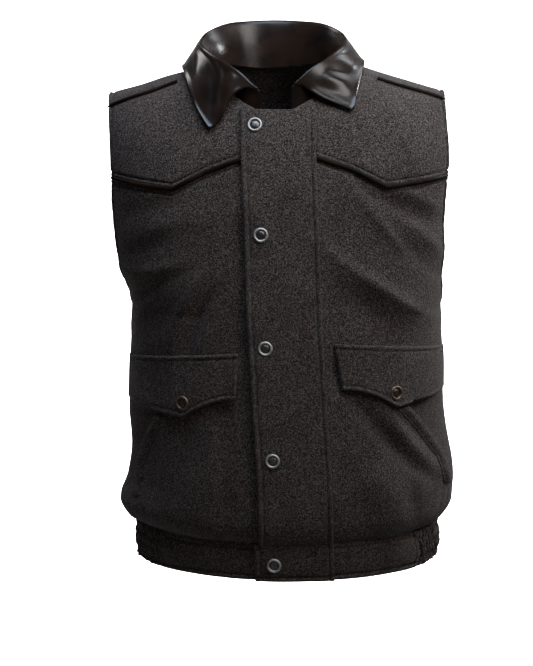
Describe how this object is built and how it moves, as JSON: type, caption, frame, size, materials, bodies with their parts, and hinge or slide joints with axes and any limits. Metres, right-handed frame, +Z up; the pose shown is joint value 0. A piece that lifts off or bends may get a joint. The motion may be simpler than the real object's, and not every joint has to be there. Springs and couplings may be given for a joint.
{
  "type": "wool vest",
  "caption": "Sleeveless wool vest, worn and hollow, with leather turn-down collar and piping, pointed yokes, snap placket, pocket flaps and elastic-sided waistband",
  "frame": {"origin": "Middle of the shoulder ridge, level with the points where the shoulders meet the neck, where the wearer's shoulders carry the vest", "axes": "+Z up, the front faces -Y, the wearer's left is +X"},
  "size_m": [0.4436, 0.2982, 0.6863],
  "materials": {
    "wool": "brushed heather wool with a short nap",
    "leather": "soft, slightly glossy",
    "snap_metal": "bright ring with a dark dome",
    "flap_snap_metal": "dark antique ring with a dark dome"
  },
  "bodies": {
    "root": {"front_body_right": "wool", "front_body_left": "wool", "front_yoke_right": "wool", "front_yoke_left": "wool", "back_yoke": "wool", "back_body": "wool", "waistband_front_right": "wool", "waistband_front_left": "wool", "waistband_side_right": "wool", "waistband_side_left": "wool", "waistband_back": "wool", "placket": "wool", "placket_band": "wool", "pocket_flap_right": "wool", "pocket_flap_left": "wool", "pocket_welt_right": "wool", "pocket_welt_left": "wool", "collar": "leather", "yoke_piping_right": "leather", "yoke_piping_left": "leather", "shoulder_piping_right": "leather", "shoulder_piping_left": "leather", "snap_1": "snap_metal", "snap_2": "snap_metal", "snap_3": "snap_metal", "snap_4": "snap_metal", "snap_5": "snap_metal", "flap_snap_right": "flap_snap_metal", "flap_snap_left": "flap_snap_metal"}
  },
  "joints": []
}
